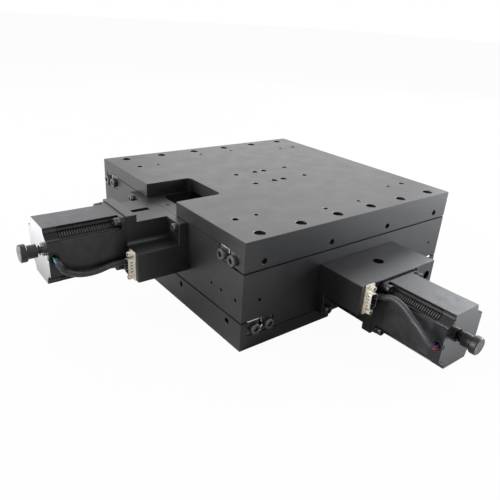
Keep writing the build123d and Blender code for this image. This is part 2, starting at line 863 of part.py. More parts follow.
def rear_cap():
    """The motor's rear cap, with the lead's opening in its near side."""
    start = motor_rear - motor_rear_cap
    cap = x_prism(motor_section(), out(start, motor_rear))
    cap -= x_rod(out(start - over, motor_rear + over), 0, axis_z, rear_hole_radius)
    cap -= x_rod(out(start - over, start + motor_bearing_width), 0, axis_z, motor_bearing_radius)
    opening = (-motor_half - over, -motor_half + lead_exit_depth)
    place = -half - lead_exit_out
    return cap - y_rod(place, opening, axis_z + lead_exit_above, lead_radius + grommet_wall)


def rotor():
    """The motor's shaft, out at both ends, and the rotor on it."""
    shaft = x_rod(out(motor_face - motor_shaft_front, knob_end - knob_socket_depth), 0, axis_z, motor_shaft_radius)
    start = motor_face + motor_front_cap + rotor_end_gap
    end = motor_rear - motor_rear_cap - rotor_end_gap
    core = x_rod(out(start, end), 0, axis_z, rotor_radius)
    core -= x_rod(out(start - over, end + over), 0, axis_z, motor_shaft_radius)
    return [shaft, core]


def motor_bolts():
    """Bolts through the motor's flange into the bracket's wall."""
    grip = washer_thickness + motor_flange + motor_wall - flange_recess
    bolt = along_minus_x(cap_bolt(m5_bolt, grip))
    face = -half - motor_face - motor_flange - washer_thickness
    return [Pos(face, y, z) * bolt for y, z in motor_bolt_places()]


def motor_washers():
    """The washers under the heads of the motor's flange bolts."""
    start = motor_face + motor_flange
    bore = out(start - over, start + washer_thickness + over)
    washers = []
    for y, z in motor_bolt_places():
        washer = x_rod(out(start, start + washer_thickness), y, z, washer_radius)
        washers.append(washer - x_rod(bore, y, z, m5_bolt[0]))
    return washers


def knob():
    """The hand knob on the shaft's rear end."""
    hub = x_rod(out(knob_start, knob_start + knob_hub_length), 0, axis_z, knob_hub_radius)
    disc = x_rod(out(knob_start + knob_hub_length, knob_end), 0, axis_z, knob_radius)
    disc = chamfer(disc.edges().filter_by(GeomType.CIRCLE), knob_chamfer)
    bore = out(knob_start - over, knob_end - knob_socket_depth)
    return hub + disc - x_rod(bore, 0, axis_z, motor_shaft_radius)


# Shaft coupling


def coupling_wedge(angle, x, turn):
    """A wedge of this angle, from the coupling's axis out past its rim."""
    tall = 2 * coupling_radius
    wide = tall * tan(radians(angle / 2))
    wedge = x_prism(yz_polygon([(0, 0), (-wide, tall), (wide, tall)]), x)
    wedge -= x_rod((x[0] - over, x[1] + over), 0, 0, coupling_radius / 2 - jaw_clearance)
    return Pos(0, 0, axis_z) * Rot(turn, 0, 0) * wedge


def jaw(start, length, turn):
    """One of a hub's three jaws."""
    ring = x_rod(out(start, start + length), 0, axis_z, coupling_radius)
    ring -= x_rod(out(start - over, start + length + over), 0, axis_z, coupling_radius / 2)
    return ring & coupling_wedge(jaw_angle, out(start, start + length), turn)


def coupling_hubs():
    """The two hubs, whose jaws reach into the spider from either side."""
    second = second_hub_start
    tooth = spider_width - jaw_clearance
    first_hub = x_rod(out(hub_start, hub_start + hub_length), 0, axis_z, coupling_radius)
    for turn in (0, 120, 240):
        first_hub += jaw(hub_start + hub_length, tooth, turn)
    bore = out(hub_start - over, hub_start + hub_length + over)
    first_hub -= x_rod(bore, 0, axis_z, journal_end_radius)
    second_hub = x_rod(out(second, second + hub_length), 0, axis_z, coupling_radius)
    for turn in (60, 180, 300):
        second_hub += jaw(second - tooth, tooth, turn)
    bore = out(second - spider_width - over, second + hub_length + over)
    second_hub -= x_rod(bore, 0, axis_z, motor_shaft_radius)
    return [first_hub, second_hub]


def coupling_spider():
    """The elastic star between the hubs."""
    start = hub_start + hub_length + jaw_clearance
    width = spider_width - 2 * jaw_clearance
    star = x_rod(out(start, start + width), 0, axis_z, coupling_radius - over)
    bore = out(start - over, start + width + over)
    star -= x_rod(bore, 0, axis_z, motor_shaft_radius + jaw_clearance)
    for turn in range(0, 360, 60):
        star -= coupling_wedge(jaw_angle + jaw_angle_clearance, bore, turn)
    return star


# Connector and motor lead


def jackscrew_places():
    """Heights of the connector's two screws."""
    return [connector_z - jackscrew_spacing / 2, connector_z + jackscrew_spacing / 2]


def connector_outline(shrink):
    """The connector's tapered outline in Y and Z, drawn smaller all round by shrink."""
    long = connector_shell_length / 2 - shrink
    short = long - connector_taper
    wide = connector_shell_width / 2 - shrink
    face = yz_polygon([
        (connector_y + wide, connector_z - short),
        (connector_y + wide, connector_z + short),
        (connector_y - wide, connector_z + long),
        (connector_y - wide, connector_z - long),
    ])
    return fillet(face.vertices(), connector_corner - shrink)


def connector_shell():
    """The plated steel shell: mounting flange and hollow tapered collar."""
    end = bracket_depth + connector_flange_thickness
    half_width = connector_flange_width / 2
    half_length = connector_flange_length / 2
    wide = (connector_y - half_width, connector_y + half_width)
    tall = (connector_z - half_length, connector_z + half_length)
    shell = block(out(bracket_depth, end), wide, tall)
    shell = fillet(shell.edges().filter_by(Axis.X), connector_corner)
    collar_end = end + connector_shell_height
    shell += x_prism(connector_outline(0), out(end, collar_end))
    inside = out(bracket_depth - over, collar_end + over)
    shell -= x_prism(connector_outline(connector_shell_wall), inside)
    for z in jackscrew_places():
        shell -= x_rod(out(bracket_depth - over, end + over), connector_y, z, jackscrew_shank)
    return shell


def contact_places():
    """Centres of the nine contacts, as (y, z), in rows of five and four."""
    wide = [(connector_y - contact_row / 2, connector_z + z) for z in row(5, contact_pitch)]
    narrow = [(connector_y + contact_row / 2, connector_z + z) for z in row(4, contact_pitch)]
    return wide + narrow


def connector_insert():
    """The moulded body that holds the contacts."""
    face = bracket_depth + connector_flange_thickness + connector_shell_height - connector_insert_recess
    insert = x_prism(connector_outline(connector_shell_wall), out(bracket_depth, face))
    half_width = connector_body_width / 2
    half_length = connector_body_length / 2
    wide = (connector_y - half_width, connector_y + half_width)
    tall = (connector_z - half_length, connector_z + half_length)
    insert += block(out(bracket_depth - connector_body_depth, bracket_depth), wide, tall)
    for y, z in contact_places():
        insert -= x_rod(out(bracket_depth - connector_body_depth - over, face + over), y, z, contact_radius)
    return insert


def connector_contacts():
    """The nine round pins."""
    end = bracket_depth + connector_flange_thickness + connector_shell_height - contact_inset
    span = out(bracket_depth - connector_body_depth - contact_tail, end)
    return [x_rod(span, y, z, contact_radius) for y, z in contact_places()]


def jackscrews():
    """The two hexagonal screws that hold the connector and take the plug's screws."""
    hexagon = extrude(RegularPolygon(jackscrew_flat / 2, 6, major_radius=False), jackscrew_height)
    shank_length = jackscrew_shank_length + connector_flange_thickness
    screw = hexagon + z_rod(0, 0, (-shank_length, 0), jackscrew_shank)
    screw -= z_rod(0, 0, (jackscrew_height - jackscrew_hole_depth, jackscrew_height + over), jackscrew_hole)
    face = -half - bracket_depth - connector_flange_thickness
    return [Pos(face, connector_y, z) * along_minus_x(screw) for z in jackscrew_places()]


def lead_grommet():
    """The rubber ring about the lead where it leaves the motor's rear cap."""
    place = -half - lead_exit_out
    height = axis_z + lead_exit_above
    span = (-motor_half - grommet_stand_out, -motor_half + grommet_depth)
    radius = lead_radius + grommet_wall
    ring = y_rod(place, span, height, radius)
    ring &= block(out(lead_exit_out - radius, motor_rear), span, (height - radius, height + radius))
    dish = (span[0] - over, span[0] + grommet_dish)
    ring -= y_rod(place, dish, height, radius - grommet_lip)
    return ring - y_rod(place, (span[0] - over, span[1] + over), height, lead_radius)


def motor_lead(route):
    """A sleeved lead: straight runs joined by arcs as large as the runs allow."""
    side = -motor_half
    points = [Vector(-half - away, side - beside, axis_z + above) for away, beside, above in route]
    radii = []
    for before, at, after in zip(points, points[1:], points[2:]):
        turn = radians((at - before).get_angle(after - at))
        shorter = min((at - before).length, (after - at).length)
        radii.append(lead_bend_share * shorter / tan(turn / 2))
    path = FilletPolyline(points, radius=radii)
    section = Plane(origin=path @ 0, z_dir=path % 0) * Circle(lead_radius)
    tube = sweep(section, path=path)
    section_area = pi * lead_radius ** 2
    print("lead: length %.1f, volume over section %.1f, radii %s" % (
        path.length, tube.volume / section_area, [round(radius, 1) for radius in radii]))
    return tube


# Nodes: name, and the solids that it holds


def both(name, pieces):
    """One node on the saddle with the same pieces of both slides."""
    return {name: pieces + [flip(piece) for piece in pieces]}


def slide_nodes():
    """The nodes of the upper slide, named without upper or lower."""
    return {
        "outer_rail_bolts": outer_rail_bolts(),
        "outer_stop_screws": stop_screws(True),
        "preload_screws": preload_screws(),
        "rollers": rollers(),
        "roller_cages": roller_cages(),
        "ball_screw": [ball_screw(), lock_nut()],
        "ball_nut": [ball_nut()],
        "nut_block": [nut_block()],
        "nut_bolts": nut_bolts(),
        "coupling_hubs": coupling_hubs(),
        "coupling_spider": [coupling_spider()],
        "motor_bracket": [motor_bracket()],
        "motor_front_cap": [front_cap()],
        "motor_stator": [stator()],
        "motor_rear_cap": [rear_cap()],
        "motor_rotor": rotor(),
        "knob": [knob()],
    }


def rail_nodes():
    """The eight rails, each in a node of its own."""
    nodes = {}
    for side, upper_end, lower_end in ((-1, "front", "left"), (1, "rear", "right")):
        for kind, rail in (("outer", outer_rail(side)), ("inner", inner_rail(side))):
            nodes["upper_%s_rail_%s" % (kind, upper_end)] = [rail]
            nodes["lower_%s_rail_%s" % (kind, lower_end)] = [flip(rail)]
    return nodes


def all_nodes():
    """Every node of the table."""
    plate = slide_plate()
    nodes = {"top_plate": [plate], "base_plate": [flip(plate)], "saddle": [saddle()]}
    nodes.update(rail_nodes())
    for name, pieces in slide_nodes().items():
        nodes["upper_" + name] = pieces
        nodes["lower_" + name] = [flip(piece) for piece in pieces]
    nodes.update(both("inner_rail_bolts", inner_rail_bolts()))
    nodes.update(both("inner_stop_screws", stop_screws(False)))
    nodes.update(both("bearings", bearings()))
    nodes.update(both("bracket_bolts", bracket_bolts()))
    nodes.update(both("motor_bolts", motor_bolts()))
    nodes.update(both("motor_washers", motor_washers()))
    nodes.update(both("connector_shells", [connector_shell()]))
    nodes.update(both("connector_inserts", [connector_insert()]))
    nodes.update(both("connector_contacts", connector_contacts()))
    nodes.update(both("connector_jackscrews", jackscrews()))
    nodes.update(both("limit_sensors", limit_sensors()))
    nodes.update(both("lead_grommets", [lead_grommet()]))
    nodes["upper_motor_lead"] = [motor_lead(upper_lead_route)]
    nodes["lower_motor_lead"] = [flip(motor_lead(lower_lead_route))]
    return nodes


os.makedirs("parts", exist_ok=True)
for node, pieces in all_nodes().items():
    solids = [solid for piece in pieces for solid in piece.solids()]
    export_step(Compound(solids), "parts/%s.step" % node)
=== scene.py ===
import json
import math

import bmesh
import bpy
from mathutils import Matrix, Vector


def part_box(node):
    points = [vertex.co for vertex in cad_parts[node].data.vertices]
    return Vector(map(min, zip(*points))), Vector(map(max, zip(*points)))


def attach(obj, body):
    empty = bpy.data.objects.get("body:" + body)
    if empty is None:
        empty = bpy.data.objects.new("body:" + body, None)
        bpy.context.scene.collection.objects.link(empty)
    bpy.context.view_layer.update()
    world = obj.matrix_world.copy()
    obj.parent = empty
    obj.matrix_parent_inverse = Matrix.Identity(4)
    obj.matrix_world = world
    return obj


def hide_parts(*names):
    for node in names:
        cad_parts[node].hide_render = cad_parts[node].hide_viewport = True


# Looks of the motorized cross slide table. Sizes are in millimetres unless a comment says metres.
# Pieces are drawn in the upper slide's place, and put into the scene in metres. The lower slide's
# place is half a turn from it.
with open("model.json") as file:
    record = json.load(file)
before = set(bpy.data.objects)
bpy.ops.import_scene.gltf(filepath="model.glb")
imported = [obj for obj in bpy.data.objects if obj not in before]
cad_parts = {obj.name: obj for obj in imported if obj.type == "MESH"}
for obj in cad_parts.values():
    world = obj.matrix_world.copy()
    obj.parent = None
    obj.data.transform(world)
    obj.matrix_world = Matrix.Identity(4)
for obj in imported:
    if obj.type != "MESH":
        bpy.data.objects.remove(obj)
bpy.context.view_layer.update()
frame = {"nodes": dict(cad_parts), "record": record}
nodes = frame["nodes"]

MM = 0.001
TABLE_HEIGHT = 112.0
HALF = 150.0
AXIS_Z = 75.0
UPPER = Matrix.Scale(MM, 4)
LOWER = UPPER @ Matrix(((0, 1, 0, 0), (1, 0, 0, 0), (0, 0, -1, TABLE_HEIGHT), (0, 0, 0, 1)))
PLACES = {"upper": UPPER, "lower": LOWER}
# Both slides' places for a piece that is drawn in millimetres and put into the scene by UPPER
SLIDES = {which: Matrix.Scale(1 / MM, 4) @ place for which, place in PLACES.items()}
MOTOR_AXES = {"upper": 0, "lower": 1}
SIDES = (-1, 1)


# Materials

OXIDE_IOR = 1.6
SCREW_RADIUS = 6.0
SCREW_LEAD = 4.0
GROOVE_MARGIN = 0.3
# Height over which the rear faces' painted reflection fades, and how far noise moves its edge, in
# millimetres
REAR_FADE = 24.0
REAR_SHADE_WOBBLE = 6.0
PLASTIC_FLECK = 0.25


class Shader:
    """A material with one Principled shader, and short ways to add textures to it."""

    def __init__(self, name, colour, roughness, metallic=0.0):
        self.material = bpy.data.materials.new(name)
        self.material.use_nodes = True
        self.tree = self.material.node_tree
        self.bsdf = self.tree.nodes["Principled BSDF"]
        self.bsdf.inputs["Base Color"].default_value = (*colour, 1)
        self.bsdf.inputs["Roughness"].default_value = roughness
        self.bsdf.inputs["Metallic"].default_value = metallic
        self.material.diffuse_color = (*colour, 1)
        self.place = self.node("ShaderNodeTexCoord").outputs["Object"]
        self.normal = None

    def node(self, kind, **values):
        """A new shader node with these settings."""
        made = self.tree.nodes.new(kind)
        for key, value in values.items():
            setattr(made, key, value)
        return made

    def link(self, output, socket):
        """Joins an output to an input."""
        self.tree.links.new(output, socket)

    def stretched(self, scale):
        """Object coordinates scaled unevenly, for marks that run one way."""
        mapping = self.node("ShaderNodeMapping")
        mapping.inputs["Scale"].default_value = scale
        self.link(self.place, mapping.inputs["Vector"])
        return mapping.outputs["Vector"]

    def noise(self, scale, detail=3.0, place=None):
        """Soft noise, with about this many spots to the metre or to a unit of the stretched place."""
        texture = self.node("ShaderNodeTexNoise")
        texture.inputs["Scale"].default_value = scale
        texture.inputs["Detail"].default_value = detail
        self.link(place or self.place, texture.inputs["Vector"])
        return texture.outputs["Fac"]

    def parts(self):
        """The separate object coordinates."""
        made = self.node("ShaderNodeSeparateXYZ")
        self.link(self.place, made.inputs[0])
        return made.outputs

    def math(self, operation, *values):
        """A maths node on numbers and sockets."""
        made = self.node("ShaderNodeMath", operation=operation)
        for socket, value in zip(made.inputs, values):
            if isinstance(value, float):
                socket.default_value = value
            else:
                self.link(value, socket)
        return made.outputs[0]

    def spread(self, fac, low, high, start=0.3, end=0.7):
        """A number that goes from low to high as a texture goes from start to end."""
        ranged = self.node("ShaderNodeMapRange")
        ranged.inputs["From Min"].default_value = start
        ranged.inputs["From Max"].default_value = end
        ranged.inputs["To Min"].default_value = low
        ranged.inputs["To Max"].default_value = high
        self.link(fac, ranged.inputs["Value"])
        return ranged.outputs["Result"]

    def vary_roughness(self, fac, low, high):
        """Roughness from low to high with a texture."""
        self.link(self.spread(fac, low, high), self.bsdf.inputs["Roughness"])

    def vary_colour(self, fac, dark, light, start=0.35, end=0.65):
        """Colour from dark to light as a texture goes from start to end."""
        mix = self.node("ShaderNodeMix", data_type="RGBA")
        mix.inputs[6].default_value = (*dark, 1)
        mix.inputs[7].default_value = (*light, 1)
        self.link(self.spread(fac, 0.0, 1.0, start, end), mix.inputs[0])
        self.link(mix.outputs[2], self.bsdf.inputs["Base Color"])

    def bump(self, fac, depth, strength=1.0):
        """Relief of this depth in metres, on top of any relief already there."""
        bump = self.node("ShaderNodeBump")
        bump.inputs["Strength"].default_value = strength
        bump.inputs["Distance"].default_value = depth
        self.link(fac, bump.inputs["Height"])
        if self.normal is not None:
            self.link(self.normal, bump.inputs["Normal"])
        self.normal = bump.outputs["Normal"]
        self.link(self.normal, self.bsdf.inputs["Normal"])


def anodised():
    """Black anodised aluminium over a fine blasted grain, with faint clouding from handling."""
    shader = Shader("black_anodised", (0.007, 0.0072, 0.008), 0.38)
    shader.bsdf.inputs["IOR"].default_value = OXIDE_IOR
    cloud = shader.noise(14.0, 5.0)
    grain = shader.noise(1500.0, 2.0)
    shader.vary_colour(cloud, (0.0055, 0.0057, 0.0065), (0.0095, 0.0098, 0.0108))
    shader.vary_roughness(shader.noise(45.0, 6.0), 0.35, 0.42)
    shader.bump(grain, 0.00002, 0.3)
    return shader.material


def motor_paint():
    """Semi-gloss black paint with a little orange peel."""
    shader = Shader("motor_black", (0.013, 0.013, 0.015), 0.34)
    shader.vary_roughness(shader.noise(60.0, 4.0), 0.3, 0.38)
    shader.bump(shader.noise(700.0, 2.0), 0.00002, 0.4)
    return shader.material


def laminations(name, axis):
    """Blackened steel sheets on edge: hardly any difference from sheet to sheet, and a soft mottling."""
    shader = Shader(name, (0.02, 0.02, 0.022), 0.34)
    across = (1300.0, 12.0, 12.0) if axis == "X" else (12.0, 1300.0, 12.0)
    sheets = shader.noise(1.0, 2.0, shader.stretched(across))
    mottle = shader.noise(120.0, 5.0)
    shader.vary_colour(mottle, (0.015, 0.015, 0.0165), (0.03, 0.03, 0.0325))
    shader.vary_roughness(mottle, 0.3, 0.42)
    shader.bump(sheets, 0.00001, 0.4)
    return shader.material


def screw_black(name, low, high):
    """Black oxide on steel, with a trace of oil; the lighter copy paints light on the heads of some screws.
    """
    shader = Shader(name, (high, high, high * 1.02), 0.34, 0.85)
    shader.vary_colour(shader.noise(700.0, 3.0), (low, low, low * 1.02), (high, high, high * 1.02))
    shader.vary_roughness(shader.noise(900.0, 3.0), 0.26, 0.44)
    shader.bump(shader.noise(2600.0, 2.0), 0.00001, 0.3)
    return shader.material


def shadow_black():
    """The shoulders and edges in the joints between the plates, painted near black and dull as the shade in
    the narrow gaps.
    """
    shader = Shader("joint_painted_shade", (0.002, 0.002, 0.0022), 0.7)
    shader.bsdf.inputs["Specular IOR Level"].default_value = 0.15
    shader.vary_roughness(shader.noise(60.0, 4.0), 0.6, 0.8)
    shader.bump(shader.noise(900.0, 2.0), 0.00002, 0.3)
    return shader.material


def tooth_steel(name, dark, light):
    """Cut corners of the stator's sheets, in darker and lighter copies that paint shade and highlights on
    them.
    """
    shader = Shader(name, (light, light, light * 1.05), 0.4, 0.5)
    shader.vary_colour(shader.noise(800.0, 3.0), (dark, dark, dark * 1.05), (light, light, light * 1.05))
    shader.vary_roughness(shader.noise(400.0, 3.0), 0.34, 0.5)
    return shader.material


def ground_steel():
    """Ground steel, with fine marks along both slides."""
    shader = Shader("ground_steel", (0.55, 0.55, 0.56), 0.27, 1.0)
    marks = shader.noise(1.0, 4.0, shader.stretched((60.0, 60.0, 3000.0)))
    shader.vary_colour(marks, (0.42, 0.42, 0.43), (0.6, 0.6, 0.61))
    shader.vary_roughness(marks, 0.2, 0.36)
    shader.bump(marks, 0.00001, 0.3)
    return shader.material


def ball_screw_steel(name, along, across, centre):
    """Ground steel with a ball groove wound about the screw's axis, which is at this height, and painted
    shade in the groove.
    """
    shader = Shader(name, (0.5, 0.5, 0.51), 0.25, 1.0)
    parts = shader.parts()
    above = shader.math("SUBTRACT", parts["Z"], centre * MM)
    side = parts[across]
    turned = shader.math("ARCTAN2", side, above)
    wound = shader.math("MULTIPLY", parts[along], 2 * math.pi / (SCREW_LEAD * MM))
    groove = shader.math("SINE", shader.math("ADD", turned, wound))
    squares = [shader.math("MULTIPLY", value, value) for value in (side, above)]
    radius = shader.math("SQRT", shader.math("ADD", *squares))
    outer = shader.math("LESS_THAN", radius, (SCREW_RADIUS + GROOVE_MARGIN) * MM)
    inner = shader.math("GREATER_THAN", radius, (SCREW_RADIUS - GROOVE_MARGIN) * MM)
    relief = shader.math("MULTIPLY", groove, shader.math("MULTIPLY", outer, inner))
    # Painted shade: darker in the groove, lighter on the lands
    shader.vary_colour(relief, (0.2, 0.2, 0.205), (0.58, 0.58, 0.59), -0.6, 0.2)
    shader.vary_roughness(shader.noise(500.0, 3.0), 0.2, 0.34)
    shader.bump(relief, 0.0006)
    return shader.material


def dark_steel():
    """The rails' end faces: a darker steel than the rails, with faint marks."""
    shader = Shader("dark_steel", (0.12, 0.12, 0.125), 0.4, 0.7)
    marks = shader.noise(420.0, 4.0)
    shader.vary_colour(marks, (0.07, 0.07, 0.074), (0.15, 0.15, 0.156))
    shader.vary_roughness(marks, 0.34, 0.5)
    shader.bump(shader.noise(1500.0, 2.0), 0.00001, 0.3)
    return shader.material


def polished_aluminium(name, upper, lower, centre):
    """The motors' rear faces: milled flat and polished, with faint marks, and a painted reflection that
    goes from light at the top to dark towards the bottom.
    """
    shader = Shader(name, (upper, upper, upper * 1.02), 0.16, 1.0)
    marks = shader.noise(90.0, 6.0)
    # Painted reflection: lighter above the axis, darker below it
    height = shader.math("SUBTRACT", shader.parts()["Z"], centre * MM)
    shaded_height = shader.math("ADD", height, shader.math("MULTIPLY", marks, REAR_SHADE_WOBBLE * MM))
    low, high = -REAR_FADE * MM, REAR_FADE * MM
    shader.vary_colour(shaded_height, (lower, lower, lower * 1.02), (upper, upper, upper * 1.02), low, high)
    shader.vary_roughness(marks, 0.12, 0.24)
    shader.bump(shader.noise(35.0, 2.0), 0.00002, 0.15)
    return shader.material


def bare_aluminium():
    """Turned or milled aluminium without a coating."""
    shader = Shader("bare_aluminium", (0.72, 0.72, 0.73), 0.34, 1.0)
    marks = shader.noise(260.0, 5.0)
    shader.vary_colour(marks, (0.6, 0.6, 0.61), (0.76, 0.76, 0.77))
    shader.vary_roughness(marks, 0.28, 0.44)
    shader.bump(shader.noise(1800.0, 2.0), 0.00001, 0.3)
    return shader.material


def hole_rim_highlight():
    """The edges of the drilled holes, painted grey as a highlight on their chamfers."""
    shader = Shader("hole_edges_painted_highlight", (0.3, 0.3, 0.3), 0.35, 0.6)
    shader.vary_colour(shader.noise(400.0, 3.0), (0.16, 0.16, 0.165), (0.42, 0.42, 0.43))
    shader.vary_roughness(shader.noise(500.0, 3.0), 0.28, 0.42)
    return shader.material


def knob_finish(name, dark, light):
    """Turned knob, black anodised to an olive black with an uneven tone between a darker and a lighter
    colour.
    """
    shader = Shader(name, light, 0.38)
    rubbed = shader.noise(160.0, 4.0)
    shader.vary_colour(rubbed, dark, light)
    shader.vary_roughness(rubbed, 0.32, 0.46)
    shader.bump(shader.noise(2200.0, 2.0), 0.00001, 0.4)
    return shader.material


def plated_steel():
    """Thin tin plating with a faint warm tone, dulled by handling."""
    shader = Shader("plated_steel", (0.95, 0.9, 0.78), 0.3, 0.25)
    film = shader.noise(160.0, 3.0)
    shader.vary_colour(film, (0.93, 0.87, 0.73), (0.98, 0.94, 0.84))
    shader.vary_roughness(film, 0.24, 0.38)
    return shader.material


def plastic(name, colour, roughness):
    """Moulded plastic or rubber with a fine grain."""
    shader = Shader(name, colour, roughness)
    lighter = tuple(min(1.0, value * (1 + PLASTIC_FLECK) + 0.004) for value in colour)
    darker = tuple(value * (1 - PLASTIC_FLECK) for value in colour)
    shader.vary_colour(shader.noise(90.0, 4.0), darker, lighter)
    shader.vary_roughness(shader.noise(200.0, 3.0), roughness - 0.05, roughness + 0.08)
    shader.bump(shader.noise(900.0, 2.0), 0.00002, 0.4)
    return shader.material


def metal(name, colour, roughness):
    """Bare metal for small parts, slightly uneven in colour."""
    shader = Shader(name, colour, roughness, 1.0)
    darker = tuple(value * 0.8 for value in colour)
    shader.vary_colour(shader.noise(300.0, 3.0), darker, colour)
    shader.vary_roughness(shader.noise(500.0, 3.0), roughness - 0.06, roughness + 0.1)
    return shader.material


def sleeve():
    """Woven grey-black sleeve over the motor's wires, slightly creased."""
    shader = Shader("lead_sleeve", (0.05, 0.05, 0.055), 0.4)
    weave = shader.noise(900.0, 3.0)
    crease = shader.noise(240.0, 4.0)
    shader.vary_colour(weave, (0.012, 0.012, 0.015), (0.07, 0.07, 0.077))
    shader.vary_roughness(crease, 0.34, 0.5)
    shader.bump(weave, 0.0003, 0.6)
    shader.bump(crease, 0.0003, 0.5)
    return shader.material


MATERIALS = {
    "black_anodised": anodised(),
    "motor_black": motor_paint(),
    "blackened_screws": screw_black("blackened_screws", 0.05, 0.11),
    "ground_steel": ground_steel(),
    "bare_aluminium": bare_aluminium(),
    "knob_black": knob_finish("knob_black", (0.006, 0.0065, 0.007), (0.015, 0.016, 0.015)),
    "plated_steel": plated_steel(),
    "cage_brass": metal("cage_brass", (0.72, 0.52, 0.24), 0.35),
    "gold_contacts": metal("gold_contacts", (0.62, 0.44, 0.34), 0.3),
    "spider_plastic": plastic("spider_plastic", (0.42, 0.04, 0.03), 0.5),
    "insert_plastic": plastic("insert_plastic", (0.012, 0.01, 0.026), 0.5),
    "sensor_plastic": plastic("sensor_plastic", (0.03, 0.03, 0.032), 0.45),
    "rubber_black": plastic("rubber_black", (0.02, 0.02, 0.021), 0.5),
    "lead_sleeve": sleeve(),
}
LAMINATIONS = {"upper": laminations("laminations_x", "X"), "lower": laminations("laminations_y", "Y")}
SHEET_EDGES = [
    tooth_steel("sheet_edge_painted_shade", 0.006, 0.014),
    tooth_steel("sheet_edge_painted_light", 0.035, 0.09),
    tooth_steel("sheet_edge_painted_highlight", 0.03, 0.07),
]
BALL_SCREWS = {
    "upper": ball_screw_steel("ball_screw_x", "X", "Y", AXIS_Z),
    "lower": ball_screw_steel("ball_screw_y", "Y", "X", TABLE_HEIGHT - AXIS_Z),
}
RAIL_ENDS = dark_steel()
# Painted highlight on the rails' end chamfers, much brighter than the rails' own ground steel
RAIL_EDGE_HIGHLIGHTS = metal("rail_edges_painted_highlight", (0.95, 0.95, 0.96), 0.4)
# The lower slide's rear faces are a darker copy: painted shade for the shaded floor they reflect
REAR_FACES = {
    "upper": polished_aluminium("polished_aluminium", 0.92, 0.34, AXIS_Z),
    "lower": polished_aluminium("polished_aluminium_painted_shade", 0.215, 0.12, TABLE_HEIGHT - AXIS_Z),
}
# A lighter copy for the knobs' end faces
KNOB_ENDS = knob_finish("knob_end_lighter", (0.07, 0.075, 0.06), (0.16, 0.17, 0.14))
JOINT_SHADE = shadow_black()
HOLE_EDGE_HIGHLIGHTS = hole_rim_highlight()
DARK_STEEL = screw_black("dark_steel_parts", 0.03, 0.08)
# A lighter copy of the black screws: painted light on the heads that catch it
SCREWS_PAINTED_LIGHT = screw_black("screws_painted_light", 0.085, 0.18)
DIMPLES = plastic("dimple_shadow", (0.16, 0.14, 0.11), 0.5)
INSIDES = plastic("shadowed_plating", (0.012, 0.01, 0.022), 0.5)
WIRES = {
    "red": plastic("wire_red", (0.75, 0.03, 0.02), 0.35),
    "blue": plastic("wire_blue", (0.03, 0.1, 0.42), 0.35),
    "green": plastic("wire_green", (0.01, 0.19, 0.09), 0.35),
    "black": plastic("wire_black", (0.015, 0.015, 0.015), 0.35),
    "white": plastic("wire_white", (0.6, 0.6, 0.58), 0.35),
}


def finish_node(node, material):
    """Gives a CAD node's object one material."""
    slots = nodes[node].data.materials
    slots.clear()
    slots.append(material)


PIECE_CREASE = 35
CAD_CREASE = 30


def smooth(obj, degrees):
    """Shades the faces smooth but keeps edges sharper than this."""
    mesh = obj.data
    for polygon in mesh.polygons:
        polygon.use_smooth = True
    mesh.set_sharp_from_angle(angle=math.radians(degrees))


# Building pieces


def piece(name, place, build, body, material, replaces=()):
    """A mesh piece: build draws it in millimetres into a bmesh, place puts it into the scene."""
    mesh = bpy.data.meshes.new(name)
    made = bmesh.new()
    build(made)
    bmesh.ops.recalc_face_normals(made, faces=made.faces)
    made.to_mesh(mesh)
    made.free()
    mesh.transform(place)
    obj = bpy.data.objects.new(name, mesh)
    bpy.context.scene.collection.objects.link(obj)
    for each in material if isinstance(material, (list, tuple)) else [material]:
        mesh.materials.append(each)
    smooth(obj, PIECE_CREASE)
    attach(obj, body)
    if replaces:
        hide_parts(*replaces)
    return obj


def loft(made, rings, place=Matrix.Identity(4)):
    """Joins rings of equally many points into a closed skin with a cap at either end."""
    verts = [[made.verts.new(place @ Vector(point)) for point in ring] for ring in rings]
    count = len(rings[0])
    for low, high in zip(verts, verts[1:]):
        for index in range(count):
            after = (index + 1) % count
            made.faces.new((low[index], low[after], high[after], high[index]))
    made.faces.new(list(reversed(verts[0])))
    made.faces.new(verts[-1])


def circle(radius, height, count=48):
    """Points of a circle about Z. The radius is a number, or a function of angle and point number."""
    points = []
    for index in range(count):
        angle = 2 * math.pi * index / count
        reach = radius(angle, index) if callable(radius) else radius
        points.append((reach * math.cos(angle), reach * math.sin(angle), height))
    return points


def hexagon(across):
    """The radius of a hexagon of this width across its flats, as a function of the angle."""
    sixth = math.pi / 3

    def reach(angle, index):
        turned = (angle + sixth / 2) % sixth - sixth / 2
        return across / 2 / math.cos(turned)

    return reach


def knurled(radius, depth):
    """A radius that drops by depth at every other point."""
    return lambda angle, index: radius - depth * (index % 2)


# A cap bolt's small forms, in millimetres or as shares of the size named first
SHANK_TIP_SHARE = 0.85
TIP_CHAMFER = 0.4
HEAD_ROUND_SHARE = 0.09
HEAD_KNURL_SHARE = 0.02
UNDERSIDE_INSET = 0.2
UNDERSIDE_CHAMFER = 0.25
SOCKET_MOUTH_SHARE = 1.08
SOCKET_CHAMFER = 0.3
SOCKET_CONE_RADIUS = 0.4
HEIGHT_WALL_END_SHARE = 0.45
HEIGHT_CONE_END_SHARE = 0.3


